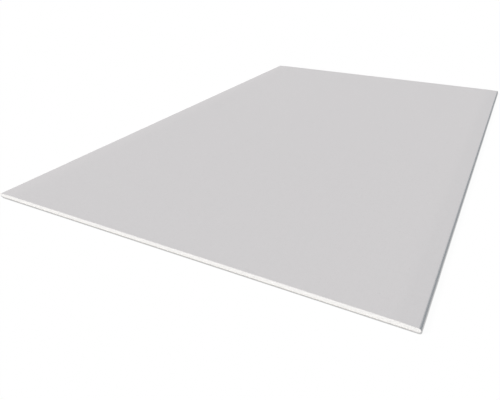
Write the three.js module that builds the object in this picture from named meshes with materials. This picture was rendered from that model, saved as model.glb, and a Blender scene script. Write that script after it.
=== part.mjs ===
// A tapered-edge drywall sheet (gypsum plasterboard), lying face up.
//
// A core of set gypsum is closed in by two paper liners. The face liner covers
// the upper face, follows the shallow taper down to each long edge, turns round
// that edge and folds back under the board as a flap. The back liner is glued
// over the two flaps, so the sheet rests on it. The short ends are cut square
// and show the core between the liners.
//
// Millimetres. +X runs across the sheet, +Y along it and +Z up, out of the
// face. The origin lies under the middle of the sheet, where it rests.

import * as THREE from "three";

// The sheet.
const LENGTH = 2000;
const WIDTH = 1250;
const THICKNESS = 12.5;

// The liners.
const FACE_LINER = 0.4;
const BACK_LINER = 0.4;

// The long edges in section. Widths are measured in from the outermost line of the edge.
const TAPER_WIDTH = 50; // to where the face starts to fall
const TAPER_DEPTH = 1.2; // fall of the face by the time it meets the rounding
const EDGE_RADIUS = 6; // outer radius between the tapered face and the outermost line
const BACK_MARGIN = 12; // to the cut edge of the back liner
const FLAP_LAP = 16; // width of flap that lies glued under the back liner

const ROUND_STEPS = 16; // straight steps in each quarter round of an edge

// The right half of the section, worked out from the sizes above. The rounding
// is two arcs that meet on the outermost line: the one on the face side is
// tangent to the taper, and the one on the back side takes up the height that
// is left down to the back liner.
const halfWidth = WIDTH / 2;
const taperStart = halfWidth - TAPER_WIDTH;
const faceArcX = halfWidth - EDGE_RADIUS;
const taperAngle = Math.atan(TAPER_DEPTH / (faceArcX - taperStart));
const arcHeight = THICKNESS - TAPER_DEPTH - EDGE_RADIUS / Math.cos(taperAngle);
const backRadius = arcHeight - BACK_LINER;
const backArcX = halfWidth - backRadius;
const backLinerEdge = halfWidth - BACK_MARGIN;
const flapEdge = backLinerEdge - FLAP_LAP;

// The points of an arc, turning clockwise from one angle to the other.
function arc(x, height, radius, fromAngle, toAngle) {
  const clockwise = true;
  const curve = new THREE.EllipseCurve(x, height, radius, radius, fromAngle, toAngle, clockwise);
  return curve.getPoints(ROUND_STEPS);
}

// One side of the line that runs `depth` inside the outer surface of the face
// liner: from the start of the taper, round the long edge, to the end of the flap.
function sideLine(depth) {
  const faceArc = arc(faceArcX, arcHeight, EDGE_RADIUS - depth, Math.PI / 2 - taperAngle, 0);
  const backArc = arc(backArcX, arcHeight, backRadius - depth, 0, -Math.PI / 2);
  return [
    new THREE.Vector2(taperStart - depth * Math.tan(taperAngle / 2), THICKNESS - depth),
    ...faceArc,
    ...backArc.slice(1),
    new THREE.Vector2(flapEdge, BACK_LINER + depth),
  ];
}

// The whole of that line, from the end of one flap over the face to the end of the other.
function wrapLine(depth) {
  const right = sideLine(depth);
  const left = right.map((point) => new THREE.Vector2(-point.x, point.y)).reverse();
  return [...left, ...right];
}

// A solid with the given section, drawn as (x, height), along the whole length of the sheet.
function alongSheet(section) {
  const geometry = new THREE.ExtrudeGeometry(new THREE.Shape(section), {
    depth: LENGTH,
    steps: 1,
    bevelEnabled: false,
  });
  const across = new THREE.Vector3(1, 0, 0);
  const up = new THREE.Vector3(0, 0, 1);
  const backwards = new THREE.Vector3(0, -1, 0);
  return geometry.applyMatrix4(new THREE.Matrix4().makeBasis(across, up, backwards));
}

// The core fills the wrap and sits down between the flaps onto the back liner.
function coreSection() {
  return [
    ...wrapLine(FACE_LINER),
    new THREE.Vector2(flapEdge, BACK_LINER),
    new THREE.Vector2(-flapEdge, BACK_LINER),
  ];
}

// One sheet of paper, wrapped from flap to flap.
function faceLinerSection() {
  return [...wrapLine(0), ...wrapLine(FACE_LINER).reverse()];
}

// A flat strip that stops short of both long edges.
function backLinerSection() {
  return [
    new THREE.Vector2(-backLinerEdge, 0),
    new THREE.Vector2(backLinerEdge, 0),
    new THREE.Vector2(backLinerEdge, BACK_LINER),
    new THREE.Vector2(-backLinerEdge, BACK_LINER),
  ];
}

function layer(name, section, color, roughness) {
  const material = new THREE.MeshStandardMaterial({ color, roughness, metalness: 0 });
  const mesh = new THREE.Mesh(alongSheet(section), material);
  mesh.name = name;
  mesh.position.y = LENGTH / 2;
  return mesh;
}

const sheet = new THREE.Group();
sheet.name = "drywall_sheet";
sheet.add(
  layer("gypsum_core", coreSection(), 0xf3f0ed, 0.95),
  layer("face_paper", faceLinerSection(), 0xd0cecf, 0.85),
  layer("back_paper", backLinerSection(), 0xb4afa8, 0.9),
);

export default sheet;
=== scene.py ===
"""A tapered-edge drywall sheet, lying face up on a pale studio floor.

The sheet is three bonded layers. A face liner of pale paper covers the face, goes
round both long edges and folds back under the board; a core of foamed gypsum shows
between the liners at the two cut ends; a grey back liner is glued over the folds.
Everything is in metres, +X across the sheet, +Y along it and +Z up.
"""

import logging
import math
from dataclasses import dataclass
from enum import Enum

import bpy
import numpy as np
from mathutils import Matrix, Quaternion, Vector


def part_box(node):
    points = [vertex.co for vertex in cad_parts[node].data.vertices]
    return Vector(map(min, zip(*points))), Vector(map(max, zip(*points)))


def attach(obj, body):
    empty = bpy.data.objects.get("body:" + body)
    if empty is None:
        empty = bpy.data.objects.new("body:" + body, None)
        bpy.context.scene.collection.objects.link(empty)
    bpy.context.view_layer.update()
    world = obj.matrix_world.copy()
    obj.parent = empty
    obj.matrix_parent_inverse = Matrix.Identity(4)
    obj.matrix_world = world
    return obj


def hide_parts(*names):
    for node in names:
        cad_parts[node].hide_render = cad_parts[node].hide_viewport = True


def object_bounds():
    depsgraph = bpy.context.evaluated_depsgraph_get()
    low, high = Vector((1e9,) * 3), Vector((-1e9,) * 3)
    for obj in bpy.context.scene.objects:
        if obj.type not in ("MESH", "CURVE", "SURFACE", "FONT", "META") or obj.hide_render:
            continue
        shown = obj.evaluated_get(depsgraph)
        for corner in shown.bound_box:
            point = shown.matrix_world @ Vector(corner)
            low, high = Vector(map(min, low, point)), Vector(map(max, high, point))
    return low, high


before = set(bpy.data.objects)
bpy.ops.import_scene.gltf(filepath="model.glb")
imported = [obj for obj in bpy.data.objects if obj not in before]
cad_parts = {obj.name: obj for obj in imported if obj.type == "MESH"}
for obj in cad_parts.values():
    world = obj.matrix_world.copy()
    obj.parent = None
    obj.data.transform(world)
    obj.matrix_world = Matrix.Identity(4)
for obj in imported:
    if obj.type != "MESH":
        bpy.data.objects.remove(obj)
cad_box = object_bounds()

log = logging.getLogger("drywall_sheet")

MM = 0.001
BODY = "root"
BAKE_MAP = "OFBake"  # the name of the UV map that holds a piece's own layout for its baked finish
NOISE_RANGE = (0.3, 0.7)  # where the value of a noise mostly lies

Socket = bpy.types.NodeSocket
Pair = tuple[float, float]
Triple = tuple[float, float, float]
Colour = Triple  # linear red, green and blue


class Slot(str, Enum):
    """The material slots of the sheet's pieces."""

    GYPSUM = "gypsum"
    FACE_PAPER = "face_paper"
    BACK_PAPER = "back_paper"


class End(Enum):
    """The two cut ends of the sheet, each with the direction along Y that points out of it."""

    FRONT = -1.0
    BACK = 1.0


class Maths(Enum):
    """What a maths node does with its two values, with Blender's name for it."""

    TIMES = "MULTIPLY"
    LESS = "SUBTRACT"
    LARGER = "MAXIMUM"
    SMALLER = "MINIMUM"


# ------------------------ fields and meshes


@dataclass(frozen=True)
class Waves:
    """A smooth random unevenness: a sum of sine waves, each with its own length, direction and phase."""

    height: float
    shortest: float
    longest: float
    count: int = 14

    def at(self, seed: int, u: np.ndarray, v: np.ndarray) -> np.ndarray:
        """Works out the unevenness, which has a mean of about 0 and a spread of about its height.

        Value = height x sum of sin(2 pi (u cos a + v sin a) / length + phase), over root(count / 2).

        Args:
            seed: Seed of the lengths, directions and phases.
            u: First coordinate of the points, in metres.
            v: Their second coordinate.

        Returns:
            The value at each point.
        """
        draw = np.random.default_rng(seed)
        lengths = np.exp(draw.uniform(math.log(self.shortest), math.log(self.longest), self.count))
        turns = draw.uniform(0.0, 2 * math.pi, self.count)
        phases = draw.uniform(0.0, 2 * math.pi, self.count)
        total = np.zeros(np.broadcast(u, v).shape)
        for length, turn, phase in zip(lengths, turns, phases):
            along = u * math.cos(turn) + v * math.sin(turn)
            total += np.sin(2 * math.pi * along / length + phase)
        return self.height * (total / math.sqrt(self.count / 2))


@dataclass(frozen=True)
class Pits:
    """Open bubbles on a cut face: at most one round bowl in each cell of a square net."""

    cell: float
    radius: Pair  # the least and the largest
    depth: float
    share: float  # of the cells that have a bowl
    bias: float = 3.0  # the higher it is, the more of the bowls are small

    def at(self, seed: int, u: np.ndarray, v: np.ndarray) -> np.ndarray:
        """Works out how deep the face is cut away by the bowls.

        A bowl is depth x radius / largest x root(1 - (distance / radius)^2) deep inside
        its rim, and where two overlap the deeper one counts. Its radius is least +
        (largest - least) x a random share to the power of the bias.

        Args:
            seed: Seed of the places and radii.
            u: First coordinate of the points, in metres.
            v: Their second coordinate.

        Returns:
            The depth at each point, in metres, never negative.
        """
        column = np.floor((u - u.min()) / self.cell).astype(int) + 1
        row = np.floor((v - v.min()) / self.cell).astype(int) + 1
        shape = (column.max() + 2, row.max() + 2)
        draw = np.random.default_rng(seed)
        centre_u = (np.arange(shape[0])[:, None] - 1 + draw.uniform(0, 1, shape)) * self.cell + u.min()
        centre_v = (np.arange(shape[1])[None, :] - 1 + draw.uniform(0, 1, shape)) * self.cell + v.min()
        least, largest = self.radius
        radius = least + (largest - least) * draw.uniform(0, 1, shape) ** self.bias
        open_here = draw.uniform(0, 1, shape) < self.share
        deepest = np.zeros(u.shape)
        for step_u in (-1, 0, 1):
            for step_v in (-1, 0, 1):
                at = (column + step_u, row + step_v)
                apart = np.hypot(u - centre_u[at], v - centre_v[at]) / radius[at]
                bowl = np.sqrt(np.clip(1 - apart**2, 0, None)) * radius[at] / largest
                deepest = np.maximum(deepest, bowl * open_here[at])
        return deepest * self.depth


def smooth_step(value: np.ndarray, start: float, end: float) -> np.ndarray:
    """Rises smoothly from 0 at start to 1 at end, which may be the lesser of the two, as 3t^2 - 2t^3."""
    part = np.clip((value - start) / (end - start), 0.0, 1.0)
    return part * part * (3 - 2 * part)


def run_along(points: np.ndarray) -> np.ndarray:
    """Length run along a line of points, from 0 at the first: the sum of its steps so far."""
    return np.concatenate([[0.0], np.cumsum(np.linalg.norm(np.diff(points, axis=0), axis=1))])


def share_along(points: np.ndarray) -> np.ndarray:
    """Length run along a line of points, as a share of the whole."""
    run = run_along(points)
    return run / run[-1]


def straight(start: np.ndarray, end: np.ndarray, step: float) -> np.ndarray:
    """Points from start to end, evenly spaced by no more than step, both ends included."""
    count = max(1, math.ceil(float(np.linalg.norm(end - start)) / step))
    return start + (end - start) * np.linspace(0.0, 1.0, count + 1)[:, None]


def net_points(x: np.ndarray, y: np.ndarray, z: np.ndarray | float) -> np.ndarray:
    """Puts coordinates together as a net of points, rows x columns x 3, each spread over the whole net."""
    return np.stack(np.broadcast_arrays(x, y, z), -1)


def net_faces(rows: int, columns: int) -> np.ndarray:
    """Numbers the quads of a net of points stored row by row, as one line of four points per quad."""
    corner = (np.arange(rows - 1)[:, None] * columns + np.arange(columns - 1)).ravel()
    return np.stack([corner, corner + 1, corner + columns + 1, corner + columns], 1)


def rim_faces(rows: int, columns: int) -> np.ndarray:
    """Numbers the quads that close two such nets, stored one after the other, round their rims."""
    number = np.arange(rows * columns).reshape(rows, columns)
    rim = np.concatenate([number[0, :-1], number[:-1, -1], number[-1, :0:-1], number[:0:-1, 0]])
    following = np.roll(rim, -1)
    other = rows * columns
    return np.stack([rim, rim + other, following + other, following], 1)


@dataclass(frozen=True)
class Layout:
    """How the faces of a piece lie on the unit square that its finish is baked to.

    The upper skin, the lower skin and the rim each have a level band of the square, from
    the bottom up. A band that is long and narrow is folded into strips, like lines of text.
    """

    upper_share: float
    lower_share: float
    strips: int = 1
    rim_strips: int = 4
    gap: float = 0.0025

    def band(self, along: np.ndarray, up: np.ndarray, low: float, high: float, strips: int) -> np.ndarray:
        """Lays a net of faces out in one band.

        A face whose middle is a share s along lies in strip floor(s x strips), and a
        corner that is a share t along lies t x strips - strip of the way across the square.

        Args:
            along: Share of the length at each column of points.
            up: Share of the height at each row of points.
            low: Where the band starts.
            high: Where it ends.
            strips: Number of strips in it.

        Returns:
            The four corners of each face, faces x 4 x 2, in the order of net_faces.
        """
        strip = np.floor((along[:-1] + along[1:]) / 2 * strips)
        left, right = along[:-1] * strips - strip, along[1:] * strips - strip
        across = self.gap + (1 - 2 * self.gap) * np.stack([left, right, right, left], 1)
        tall = (high - low) / strips
        rise = self.gap + (tall - 2 * self.gap) * np.stack([up[:-1], up[:-1], up[1:], up[1:]], 1)
        place = np.stack(np.broadcast_arrays(across, low + tall * strip[:, None] + rise[:, None]), -1)
        return place.reshape(-1, 4, 2)

    def lay(self, upper: np.ndarray, lower: np.ndarray) -> np.ndarray:
        """Lays out both skins and the rim that joins them.

        Args:
            upper: Points of one skin, rows x columns x 3.
            lower: Points of the other skin.

        Returns:
            The four corners of each face, faces x 4 x 2, in the order of two_skins.
        """
        rows, columns = upper.shape[:2]
        bands = []
        low = 0.0
        for skin, share in ((upper, self.upper_share), (lower, self.lower_share)):
            along, up = share_along(skin[rows // 2]), share_along(skin[:, columns // 2])
            bands.append(self.band(along, up, low, low + share, self.strips))
            low += share
        # The lower skin's faces and the rim's are turned over, and so are their corners.
        bands[1] = bands[1][:, ::-1]
        rim = rim_faces(rows, columns)[:, 0]
        round_rim = share_along(upper.reshape(-1, 3)[np.append(rim, rim[0])])
        bands.append(self.band(round_rim, np.array([0.0, 1.0]), low, 1.0, self.rim_strips)[:, [0, 3, 2, 1]])
        return np.concatenate(bands)


def add_object(name: str, data: bpy.types.ID) -> bpy.types.Object:
    """Adds an object to the scene, at the origin, with the mesh, camera or lamp that is its data."""
    added = bpy.data.objects.new(name, data)
    bpy.context.scene.collection.objects.link(added)
    return added


def two_skins(name: str, upper: np.ndarray, lower: np.ndarray, layout: Layout,
              sharp_above: float = 35.0) -> bpy.types.Object:
    """Makes one closed body from two nets of points that face away from each other.

    The nets are joined round their rims, and all faces are turned outwards, which is
    where the sum of (a . b x c) over the triangles, six times the volume, is above 0.

    Args:
        name: Name of the new object.
        upper: Points of one skin, rows x columns x 3.
        lower: Points of the other skin, in the same order and number.
        layout: How its faces lie on the square that its finish is baked to.
        sharp_above: Edges that turn by more than this many degrees stay sharp.

    Returns:
        The new object, at the origin, with its place in its mesh.
    """
    rows, columns = upper.shape[:2]
    points = np.concatenate([upper.reshape(-1, 3), lower.reshape(-1, 3)])
    net = net_faces(rows, columns)
    faces = np.concatenate([net, net[:, ::-1] + rows * columns, rim_faces(rows, columns)])
    corners = layout.lay(upper, lower)
    a, b, c, d = (points[faces[:, k]] for k in range(4))
    volume = np.einsum("ij,ij->", a, np.cross(b, c)) + np.einsum("ij,ij->", a, np.cross(c, d))
    if volume < 0:
        faces, corners = faces[:, ::-1], corners[:, ::-1]
    mesh = bpy.data.meshes.new(name)
    mesh.from_pydata(points, [], faces)
    laid_out = mesh.uv_layers.new(name=BAKE_MAP, do_init=False)
    laid_out.uv.foreach_set("vector", corners.astype(np.float32).ravel())
    mesh.shade_smooth()
    mesh.set_sharp_from_angle(angle=math.radians(sharp_above))
    mesh.validate()
    return add_object(name, mesh)


# ------------------------ the section


@dataclass(frozen=True)
class SheetSizes:
    """Sizes of the sheet. Those of the box and the liners are the frame's, and the edge's are its maker's."""

    length: float
    width: float
    thickness: float
    face_liner: float
    back_liner: float
    back_margin: float
    flap_lap: float = 16 * MM
    taper_width: float = 50 * MM
    taper_depth: float = 1.2 * MM
    edge_radius: float = 6 * MM

    @classmethod
    def from_frame(cls) -> "SheetSizes":
        """Reads the sizes off the boxes of the three layers."""
        core_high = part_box("gypsum_core")[1]
        face_low, face_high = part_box("face_paper")
        back_low, back_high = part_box("back_paper")
        return cls(
            length=face_high.y - face_low.y,
            width=face_high.x - face_low.x,
            thickness=face_high.z - back_low.z,
            face_liner=face_high.z - core_high.z,
            back_liner=back_high.z - back_low.z,
            back_margin=face_high.x - back_high.x,
        )

    @property
    def taper_start(self) -> float:
        """Where the face starts to fall towards the long edge."""
        return self.width / 2 - self.taper_width

    @property
    def face_arc_x(self) -> float:
        """Middle of the rounding on the face side."""
        return self.width / 2 - self.edge_radius

    @property
    def taper_angle(self) -> float:
        """How steeply the tapered face falls, in radians."""
        return math.atan(self.taper_depth / (self.face_arc_x - self.taper_start))

    @property
    def arc_height(self) -> float:
        """Height of the outermost line, where the two arcs of the rounding meet."""
        return self.thickness - self.taper_depth - self.edge_radius / math.cos(self.taper_angle)

    @property
    def back_radius(self) -> float:
        """Radius of the rounding on the back side."""
        return self.arc_height - self.back_liner

    @property
    def back_arc_x(self) -> float:
        """Middle of the rounding on the back side."""
        return self.width / 2 - self.back_radius

    @property
    def back_edge(self) -> float:
        """From the middle of the sheet to the cut edge of the back liner."""
        return self.width / 2 - self.back_margin

    @property
    def flap_edge(self) -> float:
        """From the middle of the sheet to the cut edge of the folded flap."""
        return self.back_edge - self.flap_lap


@dataclass(frozen=True)
class Line:
    """A line of the section: its points (x, z), and the direction off it at each of them, both n x 2."""

    points: np.ndarray
    outward: np.ndarray

    def carried(self, off: np.ndarray, y: np.ndarray) -> np.ndarray:
        """Sets the line, moved off itself, at places along the sheet.

        Point = (x, z) + off x outward, at y.

        Args:
            off: How far each point lies off the line, rows x columns.
            y: The places, one for each row or one for each point.

        Returns:
            The points, rows x columns x 3.
        """
        x, z = (self.points[:, k] + off * self.outward[:, k] for k in (0, 1))
        return net_points(x, y, z)


@dataclass(frozen=True)
class WrapLine(Line):
    """The face liner's outer surface in section, from the end of one flap to the other.

    run is the length along the line from the middle of the face, negative on the left.
    """

    run: np.ndarray

    @classmethod
    def of(cls, sizes: SheetSizes, flat_step: float, arc_steps: int) -> "WrapLine":
        """Draws the line: flat, taper, two tangent arcs and flap, and the same mirrored.

        An arc's points are centre + radius x (cos a, sin a), with a falling from the
        upright of the taper to level, and on to straight down.

        Args:
            sizes: Sizes of the sheet.
            flat_step: Longest step on the flat face, in metres.
            arc_steps: Steps in each arc.

        Returns:
            The line, its outward directions and its run.
        """
        edge_step = flat_step / 3  # the taper and the flap are drawn three times as finely
        tilt = sizes.taper_angle
        face_turn = np.linspace(math.pi / 2 - tilt, 0.0, arc_steps + 1)
        back_turn = np.linspace(0.0, -math.pi / 2, arc_steps + 1)[1:]
        face_out, back_out = (np.stack([np.cos(turn), np.sin(turn)], 1) for turn in (face_turn, back_turn))
        face_arc = np.array([sizes.face_arc_x, sizes.arc_height]) + sizes.edge_radius * face_out
        back_arc = np.array([sizes.back_arc_x, sizes.arc_height]) + sizes.back_radius * back_out
        top = np.array([sizes.taper_start, sizes.thickness])
        flat = straight(np.array([0.0, sizes.thickness]), top, flat_step)
        taper = straight(top, face_arc[0], edge_step)[1:-1]
        flap = straight(back_arc[-1], np.array([sizes.flap_edge, sizes.back_liner]), edge_step)[1:]
        side = np.concatenate([flat, taper, face_arc, back_arc, flap])
        outward = np.concatenate([
            np.tile([0.0, 1.0], (len(flat) - 1, 1)),
            [[math.sin(tilt / 2), math.cos(tilt / 2)]],
            np.tile([math.sin(tilt), math.cos(tilt)], (len(taper), 1)),
            face_out,
            back_out,
            np.tile([0.0, -1.0], (len(flap), 1)),
        ])
        run = run_along(side)
        mirror = np.array([-1.0, 1.0])
        return cls(
            points=np.concatenate([side[:0:-1] * mirror, side]),
            outward=np.concatenate([outward[:0:-1] * mirror, outward]),
            run=np.concatenate([-run[:0:-1], run]),
        )


# ------------------------ finishes


class Tree:
    """A node tree in the making: adds nodes by type and joins them by socket name."""

    def __init__(self, owner: bpy.types.Material | bpy.types.World) -> None:
        """Starts the tree of a material or world, with no nodes at all."""
        owner.use_nodes = True
        self.tree = owner.node_tree
        self.tree.nodes.clear()

    def feed(self, socket: Socket, value: object) -> None:
        """Sets a socket to a value, or joins it to the socket that feeds it. A colour is three numbers."""
        if isinstance(value, Socket):
            self.tree.links.new(value, socket)
        elif socket.type == "RGBA":
            socket.default_value = (*value, 1.0)
        else:
            socket.default_value = value

    def node(self, kind: str, options: dict[str, object] | None = None, *values: object,
             **inputs: object) -> bpy.types.Node:
        """Adds a node, sets its options and fills its sockets.

        Args:
            kind: Blender's name of the node type, without its ShaderNode beginning.
            options: Names and values of its options.
            values: Values of its first sockets, in order, or the sockets that feed them.
            inputs: Socket names, with _ for a space, and their values or the sockets that feed them.

        Returns:
            The new node.
        """
        node = self.tree.nodes.new("ShaderNode" + kind)
        for name, value in (options or {}).items():
            setattr(node, name, value)
        in_use = {socket.name: socket for socket in node.inputs if socket.enabled}
        named = ((in_use[name.replace("_", " ")], value) for name, value in inputs.items())
        for socket, value in (*zip(node.inputs, values), *named):
            self.feed(socket, value)
        return node

    def add(self, *args: object, **inputs: object) -> Socket:
        """Adds a node as node() does, and gives the first of its outputs that is in use."""
        return next(socket for socket in self.node(*args, **inputs).outputs if socket.enabled)

    def maths(self, operation: Maths, first: object, second: object) -> Socket:
        """Works one value out of two, each a number or a socket."""
        return self.add("Math", {"operation": operation.value}, first, second)

    def spread(self, value: Socket, low: float, high: float, to_low: float, to_high: float) -> Socket:
        """Maps the range low to high onto to_low to to_high, held at both ends."""
        return self.add("MapRange", Value=value, From_Min=low, From_Max=high, To_Min=to_low, To_Max=to_high)

    def mixed(self, share: object, first: Socket, second: Socket) -> Socket:
        """Mixes two shaders, with the given share of the second."""
        return self.add("MixShader", None, share, first, second)

    def seen(self) -> Socket:
        """Gives 1 for a ray that shows the background, straight, mirrored or through glass, and else 0."""
        rays = self.node("LightPath").outputs
        mirrored = self.maths(Maths.LARGER, rays["Is Camera Ray"], rays["Is Glossy Ray"])
        return self.maths(Maths.LARGER, mirrored, rays["Is Transmission Ray"])


@dataclass(frozen=True)
class Clouds:
    """A cloudy pattern."""

    size: float  # width of a cloud
    detail: float = 2.0  # octaves of finer cloud
    longer: float = 1.0  # how many times longer than wide the clouds are, along Y


@dataclass(frozen=True)
class Surface:
    """How a finish takes the light: as uncoated paper does, unless said otherwise."""

    relief: float = 0.05 * MM  # depth of its relief
    strength: float = 0.6  # of the relief
    roughness: Pair = (0.86, 0.05)  # the middle, and how far it varies
    gloss: float = 0.12


class Nodes(Tree):
    """A finish in the making: patterns on the piece itself, and the shader that they feed."""

    def __init__(self, name: str) -> None:
        """Starts a new material."""
        self.material = bpy.data.materials.new(name)
        super().__init__(self.material)
        self.place = self.node("TexCoord").outputs["Object"]

    def noise(self, clouds: Clouds) -> Socket:
        """Adds clouds on the piece itself: a value of 0 to 1 that is mostly near a half."""
        place = self.add("Mapping", Vector=self.place, Scale=(1.0, 1 / clouds.longer, 1.0))
        return self.add("TexNoise", Vector=place, Scale=1 / clouds.size, Detail=clouds.detail)

    def vary(self, noise: Socket, middle: float, by: float) -> Socket:
        """A value that follows a noise, from middle - by to middle + by."""
        return self.spread(noise, *NOISE_RANGE, middle - by, middle + by)

    def bubbles(self, cell: float, widest: float, slope: float = 0.14) -> Socket:
        """Adds cut bubbles, at most one round the middle of each cell of space.

        Depth = (radius - distance from the middle) / slope, held between 0 and 1, with a
        radius of widest x the cell's own random number.

        Args:
            cell: Size of a cell, in metres.
            widest: Largest radius, as a share of a cell.
            slope: How far inside its rim a bubble is at its full depth, as a share of a cell.

        Returns:
            0 on the cut face and 1 inside a bubble.
        """
        cells = self.node("TexVoronoi", Vector=self.place, Scale=1 / cell, Randomness=1.0).outputs
        radius = self.maths(Maths.TIMES, self.add("SeparateColor", Color=cells["Color"]), widest)
        return self.spread(self.maths(Maths.LESS, radius, cells["Distance"]), 0.0, slope, 0.0, 1.0)

    def shade(self, colour: Colour, by: Socket) -> Socket:
        """A colour made lighter or darker by a factor near 1."""
        return self.add("VectorMath", {"operation": "SCALE"}, Vector=colour, Scale=by)

    def blend(self, factor: Socket, first: object, second: object) -> Socket:
        """A colour between two, each given as numbers or a socket: the first at factor 0, the second at 1."""
        return self.add("Mix", {"data_type": "RGBA"}, Factor=factor, A=first, B=second)

    def finish(self, surface: Surface, colour: Socket, height: Socket, grain: Socket) -> bpy.types.Material:
        """Ends in one Principled shader.

        Args:
            surface: How the finish takes the light.
            colour: Its colour.
            height: Height of its relief, 0 to 1.
            grain: Noise that its roughness follows.

        Returns:
            The finished material.
        """
        roughness = self.vary(grain, *surface.roughness)
        bump = self.add("Bump", Height=height, Distance=surface.relief, Strength=surface.strength)
        looks = {"Base_Color": colour, "Roughness": roughness, "Specular_IOR_Level": surface.gloss}
        self.node("OutputMaterial", Surface=self.add("BsdfPrincipled", Normal=bump, **looks))
        return self.material


@dataclass(frozen=True)
class Fibres:
    """One colour of loose fibres on a paper: short curved threads that lie mostly along Y."""

    colour: Colour
    curl: float  # size of a thread's bends
    bare: float = 0.56  # the higher it is, the fewer the threads
    width: float = 0.14 * MM
    longer: float = 1.5  # how many times longer than wide its bends are
    level: float = 0.57  # of the noise, where the threads lie
    change: float = 0.4  # half of what the noise changes by over a curl
    patch: float = 0.8  # size of the bare patches, as a share of a curl
    patch_edge: float = 0.04

    def lay(self, nodes: Nodes, ground: Socket) -> Socket:
        """Lays the fibres on a ground.

        A thread follows the line on which a noise passes through a level, and is broken
        off where a second noise lies below the bare threshold. Its edge is where the
        noise is change x width / curl off that level.

        Args:
            nodes: The finish in the making.
            ground: Colour of what they lie on.

        Returns:
            The colour with the fibres on it.
        """
        line = nodes.noise(Clouds(self.curl, 0.0, self.longer))
        edge = self.change * self.width / self.curl
        rising = nodes.spread(line, self.level - edge, self.level, 0.0, 1.0)
        falling = nodes.spread(line, self.level, self.level + edge, 1.0, 0.0)
        patches = nodes.noise(Clouds(self.patch * self.curl, 0.0))
        kept = nodes.spread(patches, self.bare, self.bare + self.patch_edge, 0.0, 1.0)
        threads = nodes.maths(Maths.TIMES, nodes.maths(Maths.TIMES, rising, falling), kept)
        return nodes.blend(threads, ground, self.colour)


@dataclass(frozen=True)
class PaperFinish:
    """Uncoated board paper: cloudy formation, streaks along the machine direction, flecks and fibres."""

    name: str
    colour: Colour
    cloud: float  # how far the clouds vary its shade
    streak: float  # how far the streaks do
    fleck: float  # how strong the flecks are
    fleck_colour: Colour
    fibres: tuple[Fibres, ...] = ()
    cloud_shape: Clouds = Clouds(14 * MM, 5.0)
    streak_shape: Clouds = Clouds(3 * MM, 3.0, 60.0)
    fleck_shape: Clouds = Clouds(0.9 * MM, longer=4.0)
    fleck_from: float = 0.66
    fleck_edge: float = 0.08
    tooth: Clouds = Clouds(0.5 * MM, 4.0, 1.6)
    surface: Surface = Surface()

    def material(self) -> bpy.types.Material:
        """Builds the material.

        Shade = (1 + cloud) x (1 + streak), each a slow noise about 0. A fleck is where a
        stretched noise stands above its threshold, and the fibres lie over the flecks.

        Returns:
            The new material.
        """
        nodes = Nodes(self.name)
        cloud = nodes.vary(nodes.noise(self.cloud_shape), 1.0, self.cloud)
        streak = nodes.vary(nodes.noise(self.streak_shape), 1.0, self.streak)
        colour = nodes.shade(self.colour, nodes.maths(Maths.TIMES, cloud, streak))
        flecks = nodes.noise(self.fleck_shape)
        fleck = nodes.spread(flecks, self.fleck_from, self.fleck_from + self.fleck_edge, 0.0, self.fleck)
        colour = nodes.blend(fleck, colour, self.fleck_colour)
        for fibres in self.fibres:
            colour = fibres.lay(nodes, colour)
        tooth = nodes.noise(self.tooth)
        return nodes.finish(self.surface, colour, tooth, tooth)


@dataclass(frozen=True)
class GypsumFinish:
    """Bare set gypsum where the board is cut: chalky, with fine pores and a faint mottle."""

    name: str
    colour: Colour
    # The pore colour, and how far the pores take it, are painted shade in the bubbles' hollows.
    pore_shadow_colour: Colour
    pore_cells: Pair = (1.5 * MM, 0.6 * MM)
    pore_radii: Pair = (0.42, 0.40)  # the widest, as shares of a cell
    pore_shade: float = 0.7
    mottle: Clouds = Clouds(9 * MM, 4.0)
    mottle_shade: Pair = (0.995, 0.02)  # the middle, and how far it varies
    grain: Clouds = Clouds(0.35 * MM, 4.0)
    surface: Surface = Surface(0.18 * MM, 0.8, (0.95, 0.05), 0.15)

    def material(self) -> bpy.types.Material:
        """Builds the material.

        The ground is mottled by a slow noise and roughened by a fine grain. Bubbles too
        small for the mesh are a little sunken, in two sizes, and darkened as painted shade
        in their hollows.

        Returns:
            The new material.
        """
        nodes = Nodes(self.name)
        mottle = nodes.vary(nodes.noise(self.mottle), *self.mottle_shade)
        pores = nodes.maths(Maths.LARGER, *map(nodes.bubbles, self.pore_cells, self.pore_radii))
        # Painted shade: the bubbles are darkened towards the pore colour, as their hollows would be shaded.
        shaded = nodes.spread(pores, 0.0, 1.0, 0.0, self.pore_shade)
        colour = nodes.blend(shaded, nodes.shade(self.colour, mottle), self.pore_shadow_colour)
        grain = nodes.noise(self.grain)
        return nodes.finish(self.surface, colour, nodes.maths(Maths.LESS, grain, pores), grain)


# ------------------------ the layers


@dataclass
class Layer:
    """A part of the sheet that dresses its pieces and ties them to the frame."""

    sizes: SheetSizes

    def register(self, piece: bpy.types.Object, slot: Slot, material: bpy.types.Material,
                 stands_for: str | None = None) -> None:
        """Dresses a piece, ties it to the frame and reports it.

        Args:
            piece: The new object.
            slot: Not used.
            material: Its finish.
            stands_for: CAD node that it replaces, or None for a piece on top of one.
        """
        piece.data.materials.append(material)
        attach(piece, BODY)
        if stands_for:
            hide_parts(stands_for)
        log.info("%s: %d points, %d faces", piece.name, len(piece.data.vertices), len(piece.data.polygons))


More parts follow.
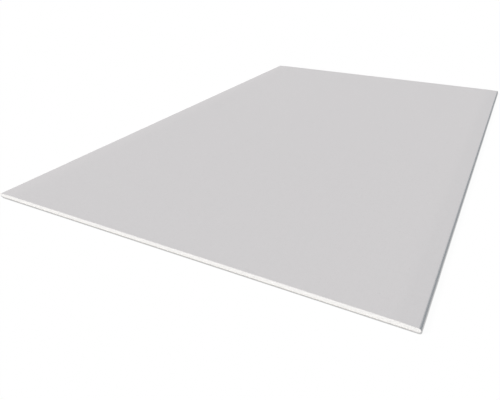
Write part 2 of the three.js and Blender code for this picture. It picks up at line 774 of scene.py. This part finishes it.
@dataclass(frozen=True)
class Burr:
    """The thin burr of torn fibres along each sawn end of a liner."""

    seed: int
    seeds_apart: int = 4
    step: float = 0.8 * MM  # longest from point to point along the liner
    arc_steps: int = 12
    radius: float = 0.14 * MM
    radius_limits: Pair = (0.056 * MM, 0.224 * MM)
    ragged: Waves = Waves(0.05 * MM, 1.6 * MM, 9 * MM, 18)
    reach_limits: Pair = (-0.14 * MM, 0.21 * MM)
    reach: Waves = Waves(0.08 * MM, 2.2 * MM, 30 * MM, 18)
    sunk: float = 0.07 * MM
    turn_deg: Pair = (12.0, 168.0)
    across_steps: int = 4
    sharp_above: float = 80.0
    layout: Layout = Layout(upper_share=0.45, lower_share=0.45, strips=16)

    def skins(self, line: Line, end: End, half_length: float, seed: int) -> list[np.ndarray]:
        """Works out the burr along a line.

        A point of the burr = line + radius x (cos a out of the end, sin a off the
        liner), with a going over the top for one skin and under for the other. The
        radius and the reach out of the end wander by short waves.

        Args:
            line: The liner's middle line.
            end: End of the sheet.
            half_length: From the middle of the sheet to that end.
            seed: Seed of its waves.

        Returns:
            The upper and the under skin, each rows x columns x 3.
        """
        run = run_along(line.points)
        level = np.zeros_like(run)
        radius = np.clip(self.radius + self.ragged.at(seed, run, level), *self.radius_limits)
        reach = np.clip(self.reach.at(seed + 1, run, level), *self.reach_limits) - self.sunk
        turn = np.radians(np.linspace(*self.turn_deg, self.across_steps + 1))[:, None]
        y = end.value * (half_length + reach + np.cos(turn) * radius)
        return [line.carried(side * np.sin(turn) * radius, y) for side in (1.0, -1.0)]


@dataclass
class Liner(Layer):
    """A layer of paper, uneven but for its two sawn ends, with a burr along each of them."""

    finish: PaperFinish
    cut_finish: PaperFinish
    row_step: float
    still_length: float  # from a sawn end to where it is fully uneven
    burr: Burr
    layout: Layout

    def stations(self) -> tuple[np.ndarray, np.ndarray]:
        """Places along Y of the rows of points, and their share of the unevenness, both rows x 1."""
        half = self.sizes.length / 2
        y = np.linspace(-half, half, round(self.sizes.length / self.row_step) + 1)[:, None]
        return y, smooth_step(np.abs(y), half, half - self.still_length)

    def lay(self, name: str, slot: Slot, skins: list[np.ndarray], middle: Line) -> None:
        """Makes the liner and its two burrs.

        Args:
            name: Name of the liner.
            slot: Its material slot, which has the name of the CAD node that it replaces.
            skins: Its two skins.
            middle: Its middle line.
        """
        liner = two_skins(name, *skins, self.layout)
        self.register(liner, slot, self.finish.material(), stands_for=slot.value)
        cut, burr = self.cut_finish.material(), self.burr
        for number, end in enumerate(End):
            pair = burr.skins(middle, end, self.sizes.length / 2, burr.seed + number * burr.seeds_apart)
            piece = two_skins(f"{name}_burr_{end.name.lower()}", *pair, burr.layout, burr.sharp_above)
            self.register(piece, slot, cut)


@dataclass
class FaceLiner(Liner):
    """The face paper: over the face, down the tapers, round the long edges and under as two flaps."""

    row_step: float = 12.5 * MM
    column_step: float = 25 * MM
    arc_steps: int = 34
    crease_depth: float = 0.09 * MM
    crease_width: float = 0.28 * MM
    creases_at: Pair = (0.9 * MM, -1.3 * MM)  # along the paper from the rounding's start, and from its end
    face_wave: float = 0.03 * MM
    edge_wave: float = 0.10 * MM
    waves: Waves = Waves(1.0, 130 * MM, 620 * MM)
    seed: int = 3
    still_length: float = 80 * MM
    pressed_below: float = -0.7  # where the paper faces down more steeply than this, it is pressed flat
    burr: Burr = Burr(seed=11)
    layout: Layout = Layout(upper_share=0.90, lower_share=0.06)

    def build(self) -> None:
        """Builds the liner and the burr along its two sawn edges."""
        fine = WrapLine.of(self.sizes, self.burr.step, self.burr.arc_steps)
        middle = Line(fine.points - fine.outward * self.sizes.face_liner / 2, fine.outward)
        self.lay("face_liner", Slot.FACE_PAPER, self.skins(), middle)

    def creases(self, line: WrapLine) -> np.ndarray:
        """Works out how far the paper is pressed in by its fold lines.

        The folding wheels score it twice at each long edge, a little inside each end of
        the rounding. Depth = crease depth x exp(-(distance / width)^2).

        Args:
            line: The liner's section.

        Returns:
            The depth at each point of the line.
        """
        run = np.abs(line.run)
        from_arc = np.abs(np.abs(line.points[:, 0]) - self.sizes.face_arc_x)
        start = run[np.argmin(np.where(line.outward[:, 1] > 0, from_arc, np.inf))]
        end = start + (self.sizes.edge_radius + self.sizes.back_radius) * math.pi / 2
        scored = np.zeros(len(run))
        for place, past in zip((start, end), self.creases_at):
            scored += np.exp(-(((run - place - past) / self.crease_width) ** 2))
        return self.crease_depth * scored

    def skins(self) -> list[np.ndarray]:
        """Carries the section along the sheet, with the slight unevenness of pressed paper.

        Outer = line + outward x (wave - crease), inner = line + outward x (wave -
        thickness). The wave is small on the face, larger round the edge, and dies out
        towards the sawn ends, where the liner lies true on the core.

        Returns:
            The outer and the inner skin, each rows x columns x 3.
        """
        line = WrapLine.of(self.sizes, self.column_step, self.arc_steps)
        y, still = self.stations()
        round_edge = smooth_step(np.abs(line.points[:, 0]), self.sizes.taper_start, self.sizes.face_arc_x)
        tall = self.face_wave + (self.edge_wave - self.face_wave) * round_edge
        off = tall * still * self.waves.at(self.seed, line.run, y)
        off *= line.outward[:, 1] > self.pressed_below
        return [line.carried(off - inside, y) for inside in (self.creases(line), self.sizes.face_liner)]


@dataclass
class BackLiner(Liner):
    """The grey back paper, flat under the sheet and glued over the two flaps."""

    row_step: float = 10 * MM
    column_step: float = 14 * MM
    wander: Waves = Waves(0.18 * MM, 90 * MM, 700 * MM)
    seed: int = 21
    edges_apart: float = 10.0  # how far apart the two edges lie in the waves, so that they differ
    still_length: float = 60 * MM
    burr: Burr = Burr(seed=31)
    layout: Layout = Layout(upper_share=0.06, lower_share=0.90)

    def build(self) -> None:
        """Builds the liner and the burr along its two sawn edges."""
        right = np.array([self.sizes.back_edge, self.sizes.back_liner / 2])
        middle = straight(right * [-1, 1], right, self.burr.step)
        upward = np.tile([0.0, 1.0], (len(middle), 1))
        self.lay("back_liner", Slot.BACK_PAPER, self.skins(), Line(middle, upward))

    def skins(self) -> list[np.ndarray]:
        """Lays the liner flat, with slit edges that wander a little.

        x = share of the half width x (half width + wander(y)), so the whole sheet
        stretches with its edges.

        Returns:
            The upper and the under skin, each rows x columns x 3.
        """
        y, still = self.stations()
        share = np.linspace(-1.0, 1.0, round(2 * self.sizes.back_edge / self.column_step) + 1)
        wander = still * self.wander.at(self.seed, y, np.sign(share) * self.edges_apart)
        x = share * (self.sizes.back_edge + wander)
        return [net_points(x, y, level) for level in (self.sizes.back_liner, 0.0)]


@dataclass
class GypsumCore(Layer):
    """The set-gypsum core, whose two cut ends show between the liners."""

    finish: GypsumFinish
    column_step: float = 0.62 * MM
    arc_columns: int = 22
    nose_slice_deg: float = 3.0
    step_width: float = 0.02 * MM
    rows: int = 20
    crowding: float = 0.45
    seed: int = 50
    seeds_apart: int = 20
    set_back: float = 2.0  # how many times their height the wander and the marks lie back on average
    wander: Waves = Waves(0.06 * MM, 18 * MM, 160 * MM)
    marks: Waves = Waves(0.04 * MM, 2.6 * MM, 8 * MM)
    marks_lean: float = 0.35  # how far a mark leans across, as a share of its rise
    marks_rise: float = 0.12  # how fast the marks change upwards, as a share of how fast across
    pits: Pits = Pits(cell=3.2 * MM, radius=(0.5 * MM, 1.3 * MM), depth=0.30 * MM, share=0.30)
    chip: float = 0.10 * MM
    chip_height: float = 0.7 * MM
    crumble: Waves = Waves(0.35, 1.8 * MM, 14 * MM)
    crumble_longer: float = 4.0  # how many times longer than high the chips are
    sharp_above: float = 50.0
    layout: Layout = Layout(upper_share=0.47, lower_share=0.47, strips=8)

    def build(self) -> None:
        """Builds the core as one body between its two cut ends."""
        ends = [self.end_face(end, self.seed + number * self.seeds_apart) for number, end in enumerate(End)]
        core = two_skins("core", *ends, self.layout, self.sharp_above)
        self.register(core, Slot.GYPSUM, self.finish.material(), stands_for="gypsum_core")

    def columns(self) -> np.ndarray:
        """Works out where the columns of points stand across the sheet.

        They are evenly spaced between the roundings, and inside a rounding they
        follow x = centre + radius x cos a, so that they crowd where it turns down. Two
        more stand close together at each flap's edge, so that the step there is upright.

        Returns:
            The places along X, from left to right.
        """
        radius = self.sizes.edge_radius - self.sizes.face_liner
        turn = np.radians(np.linspace(90, self.nose_slice_deg, self.arc_columns + 1))
        arc = self.sizes.face_arc_x + radius * np.cos(turn)
        count = round(2 * self.sizes.face_arc_x / self.column_step)
        between = np.linspace(-self.sizes.face_arc_x, self.sizes.face_arc_x, count + 1)[1:-1]
        step = self.sizes.flap_edge + np.array([0.0, self.step_width])
        return np.sort(np.concatenate([-arc, -step, between, step, arc]))

    def outline(self, x: np.ndarray) -> tuple[np.ndarray, np.ndarray]:
        """Works out the core's under and upper side, which the liners cover.

        The under side's height = back liner, and over the flap also the face liner. The
        upper side's = thickness - liner - fall of the taper, up to its point of contact
        with the rounding. In the roundings, height = arc height -+ root(radius^2 - (x -
        centre)^2).

        Args:
            x: Places across the sheet.

        Returns:
            The lower and the upper height at each place.
        """
        sizes = self.sizes
        across = np.abs(x)
        radius = sizes.edge_radius - sizes.face_liner
        drop, rise = (
            np.sqrt(np.clip(arc_radius**2 - (across - centre) ** 2, 0, None))
            for arc_radius, centre in (
                (sizes.back_radius - sizes.face_liner, sizes.back_arc_x),
                (radius, sizes.face_arc_x),
            )
        )
        flat = sizes.back_liner + np.where(across > sizes.flap_edge, sizes.face_liner, 0.0)
        fall = np.clip(across - sizes.taper_start, 0, None) * math.tan(sizes.taper_angle)
        tangent = sizes.face_arc_x + radius * math.sin(sizes.taper_angle)
        under = np.where(across > sizes.back_arc_x, sizes.arc_height - drop, flat)
        upper = np.where(across > tangent, sizes.arc_height + rise, sizes.thickness - sizes.face_liner - fall)
        return under, upper

    def end_face(self, end: End, seed: int) -> np.ndarray:
        """Works out one cut end: the section's outline filled with a net, cut away by its texture.

        The rows crowd towards both arrises, as share = (1 - cos(pi k / n)) / 2 mixed
        with k / n. Each point stands back from the true plane by the saw's wander, its
        marks, the open bubbles and the crumbled arrises.

        Args:
            end: End of the sheet.
            seed: Seed of its texture.

        Returns:
            The points, rows x columns x 3, from the bottom row up.
        """
        x = self.columns()
        step = np.linspace(0.0, 1.0, self.rows + 1)[:, None]
        share = (1 - self.crowding) * step + self.crowding * (1 - np.cos(math.pi * step)) / 2
        low, high = self.outline(x)
        z = low + (high - low) * share
        x = np.broadcast_to(x, z.shape)
        back = self.set_back * (self.wander.height + self.marks.height) + self.wander.at(seed, x, z)
        back += self.marks.at(seed + 1, x + self.marks_lean * z, self.marks_rise * z)
        back += self.pits.at(seed, x, z)
        # The lower arris follows the outline round the step onto each flap.
        above_flap = np.clip(z - self.sizes.back_liner - self.sizes.face_liner, 0, None)
        from_step = np.hypot(np.abs(x) - self.sizes.flap_edge, above_flap)
        crumble = self.chip * (1 + self.crumble.at(seed + 2, x, self.crumble_longer * z))
        for from_arris in (np.minimum(z - low, from_step), high - z):
            back += crumble * smooth_step(from_arris, self.chip_height, 0.0)
        return net_points(x, end.value * (self.sizes.length / 2 - np.clip(back, 0, None)), z)


# ------------------------ the studio


@dataclass(frozen=True)
class PaintedContactShadow:
    """A painted shadow: the dark line where the sheet meets the floor, darkened into the floor's glow.

    It is there where the sheet closes the floor off within its reach, as counted round a
    direction that leans back, so that it is widest along the front end. The reach grows
    from the right of the sheet to its left, and is least along the left edge, whose
    rounding stands off the floor.
    """

    reach: Pair = (6.4 * MM, 4.3 * MM)  # at the left and the right of the sheet
    edge_reach: float = 2.2 * MM  # under the rounding of the left edge
    edge: Pair = (5 * MM, 19 * MM)  # how far in from that edge the reach starts to grow, and is full
    lean: Triple = (0.0, 0.5, 1.0)
    openness: Pair = (0.80, 1.0)  # of the floor where the line is darkest, and where it ends
    # how far the painted shadow dims the floor's glow at its darkest
    dark: float = 0.50
    samples: int = 16

    def light(self, tree: Tree) -> Socket:
        """Adds to the floor's finish its painted contact shadow: a glow of 1 away from the sheet, darker on
        the line.
        """
        across = tree.add("SeparateXYZ", Vector=tree.node("TexCoord").outputs["Object"])
        left, right = cad_box[0][0], cad_box[1][0]
        start, end = (left + inside for inside in self.edge)
        reach = tree.maths(
            Maths.SMALLER,
            tree.spread(across, left, right, *self.reach),
            tree.spread(across, start, end, self.edge_reach, self.reach[0]),
        )
        lean = tree.add("CombineXYZ", **dict(zip("XYZ", Vector(self.lean).normalized())))
        near = tree.node("AmbientOcclusion", {"samples": self.samples}, Distance=reach, Normal=lean)
        return tree.spread(near.outputs["AO"], *self.openness, self.dark, 1.0)


@dataclass(frozen=True)
class Studio:
    """Camera, light and floor.

    The sky is even and cool, and the key lamp warm and low from the front left. The
    two together give a face that looks up a light of 1 in each channel.
    """

    camera_place: Triple = (0.6715, -1.8048, 0.6842)
    camera_aim: Triple = (-0.4184, 0.7797, -0.4658)
    camera_roll_deg: float = 0.08
    camera_clip: Pair = (0.01, 200.0)
    lens: float = 35.02
    sensor: float = 36.0
    sky: Colour = (0.42, 0.465, 0.49)
    white: Colour = (1.0, 1.0, 1.0)
    key_height_deg: float = 29.0
    key_swing_deg: float = 61.0
    key_softness_deg: float = 16.0
    floor_size: float = 60.0
    floor_colour: Colour = (0.72, 0.72, 0.72)
    floor_shadow: float = 0.04
    # The contact line is a painted shadow on the floor's glow.
    contact: PaintedContactShadow = PaintedContactShadow()

    def build(self) -> None:
        """Sets up the view, the camera, the light and the floor."""
        bpy.context.scene.view_settings.view_transform = "Standard"
        self.build_camera()
        self.build_sky()
        self.build_key()
        self.build_floor()

    def build_camera(self) -> None:
        """Stands the camera over the front right corner, looking down along the sheet."""
        data = bpy.data.cameras.new("camera")
        data.lens = self.lens
        data.sensor_width = self.sensor
        data.sensor_fit = "HORIZONTAL"
        data.clip_start, data.clip_end = self.camera_clip
        camera = add_object("camera", data)
        camera.location = self.camera_place
        roll = Quaternion((0, 0, 1), math.radians(self.camera_roll_deg))
        camera.rotation_euler = (Vector(self.camera_aim).to_track_quat("-Z", "Y") @ roll).to_euler()
        bpy.context.scene.camera = camera

    def build_sky(self) -> None:
        """Lights everything evenly, and shows a white background."""
        world = bpy.data.worlds.new("sky")
        bpy.context.scene.world = world
        tree = Tree(world)
        light, white = (tree.add("Background", Color=colour) for colour in (self.sky, self.white))
        tree.node("OutputWorld", Surface=tree.mixed(tree.seen(), light, white))

    def build_key(self) -> None:
        """Adds the key lamp, as strong as the sky leaves to do.

        A face that looks up gets strength x sin(height) / pi from the lamp, so each
        channel's strength is pi (1 - sky) / sin(height).
        """
        height, swing = math.radians(self.key_height_deg), math.radians(self.key_swing_deg)
        strength = [math.pi * (1 - s) / math.sin(height) for s in self.sky]
        data = bpy.data.lights.new("key", "SUN")
        data.energy = max(strength)
        data.color = [s / max(strength) for s in strength]
        data.angle = math.radians(self.key_softness_deg)
        towards = Vector((
            -math.cos(height) * math.sin(swing),
            -math.cos(height) * math.cos(swing),
            math.sin(height),
        ))
        add_object("key", data).rotation_euler = towards.to_track_quat("Z", "Y").to_euler()

    def build_floor(self) -> None:
        """Lays the floor: white to the eye, with the sheet's soft shadow from the lamps and its painted
        contact shadow.
        """
        half = self.floor_size / 2
        corners = [(-half, -half, 0), (half, -half, 0), (half, half, 0), (-half, half, 0)]
        mesh = bpy.data.meshes.new("floor")
        mesh.from_pydata(corners, [], [(0, 1, 2, 3)])
        material = bpy.data.materials.new("floor_white")
        mesh.materials.append(material)
        tree = Tree(material)
        matt, lit = (tree.add("BsdfDiffuse", Color=colour) for colour in (self.floor_colour, self.white))
        # Painted shadow: the floor's glow is dimmed along the sheet's foot by the contact line.
        white = tree.add("Emission", Strength=self.contact.light(tree))
        shown = tree.mixed(self.floor_shadow, white, lit)
        tree.node("OutputMaterial", Surface=tree.mixed(tree.seen(), matt, shown))
        add_object("floor", mesh)


# ------------------------ making


FACE_PAPER = PaperFinish(
    "face_paper_pale", colour=(0.6235, 0.6105, 0.618), cloud=0.006, streak=0.004,
    fleck=0.25, fleck_colour=(0.50, 0.49, 0.48),
    fibres=(Fibres((0.52, 0.51, 0.505), 3.4 * MM), Fibres((0.69, 0.68, 0.685), 2.7 * MM)),
)
FACE_PAPER_CUT = PaperFinish(
    "face_paper_cut", colour=(0.62, 0.61, 0.615), cloud=0.03, streak=0.0,
    fleck=0.3, fleck_colour=(0.45, 0.44, 0.43), surface=Surface(0.08 * MM),
)
BACK_PAPER = PaperFinish(
    "back_paper_grey", colour=(0.43, 0.405, 0.37), cloud=0.03, streak=0.012,
    fleck=0.55, fleck_colour=(0.25, 0.23, 0.21), fleck_from=0.62,
    fibres=(Fibres((0.26, 0.24, 0.22), 3.4 * MM, 0.52), Fibres((0.56, 0.535, 0.50), 2.7 * MM, 0.52)),
)
BACK_PAPER_CUT = PaperFinish(
    "back_paper_cut", colour=(0.70, 0.685, 0.66), cloud=0.05, streak=0.0,
    fleck=0.4, fleck_colour=(0.30, 0.29, 0.27), surface=Surface(0.08 * MM),
)
# The gypsum's pore colour is painted shade in its bubbles' hollows.
GYPSUM = GypsumFinish("gypsum_bare", colour=(0.866, 0.869, 0.863), pore_shadow_colour=(0.76, 0.755, 0.745))


def main() -> None:
    """Builds the studio and the three layers of the sheet."""
    logging.basicConfig(level=logging.INFO, format="%(name)s: %(message)s")
    Studio().build()
    sizes = SheetSizes.from_frame()
    GypsumCore(sizes, GYPSUM).build()
    FaceLiner(sizes, FACE_PAPER, FACE_PAPER_CUT).build()
    BackLiner(sizes, BACK_PAPER, BACK_PAPER_CUT).build()


if __name__ == "__main__":
    main()
